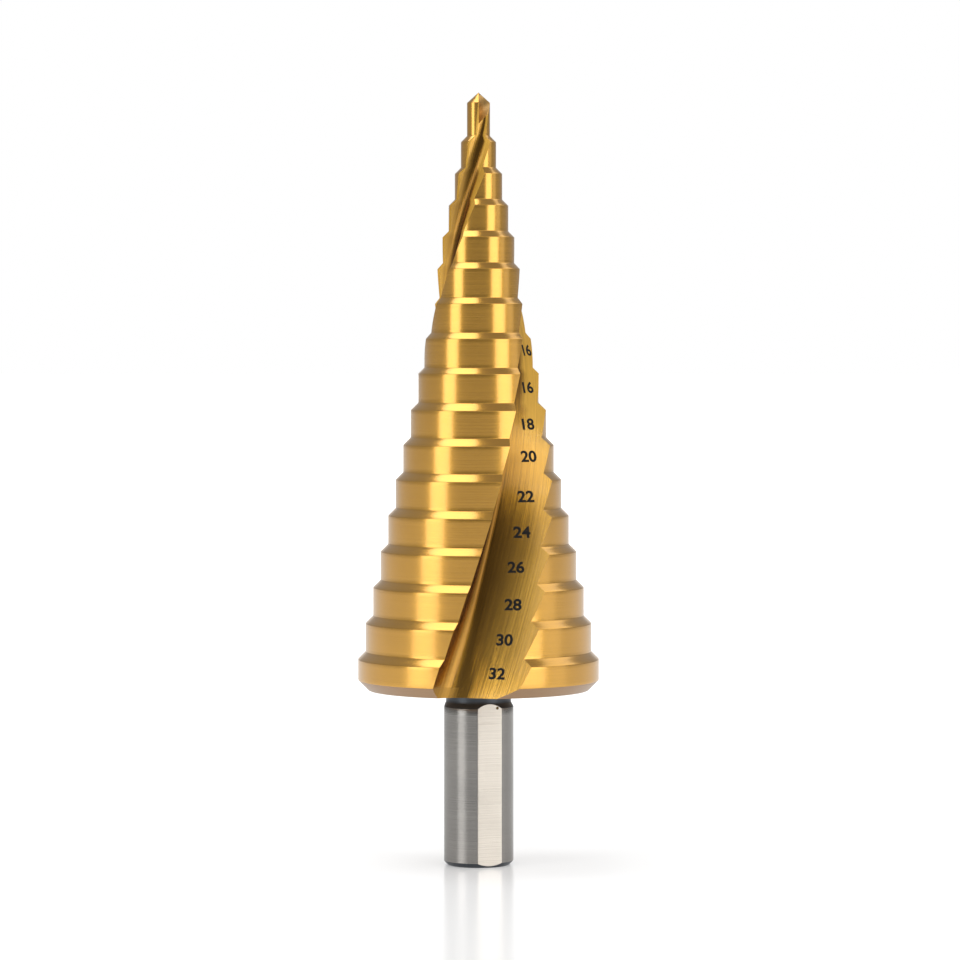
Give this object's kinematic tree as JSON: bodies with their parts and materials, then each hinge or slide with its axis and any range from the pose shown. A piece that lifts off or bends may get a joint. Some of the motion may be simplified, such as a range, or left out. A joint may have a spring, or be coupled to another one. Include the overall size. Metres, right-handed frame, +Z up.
{
  "type": "step drill",
  "caption": "Stepped conical drill for holes in sheet, with two right-hand helical flutes and a chuck shank with flats.",
  "frame": {"origin": "centre of the shank's flat end, on the drill's axis", "axes": "+Z up the axis from the shank to the point; the flute that starts beside the point opens towards -Y"},
  "size_m": [0.032, 0.0304, 0.1023],
  "materials": {
    "coated_steel": "satin gold nitride coating on the steps, bare ground steel on the shank"
  },
  "bodies": {
    "root": {"step_drill": "coated_steel"}
  },
  "joints": []
}
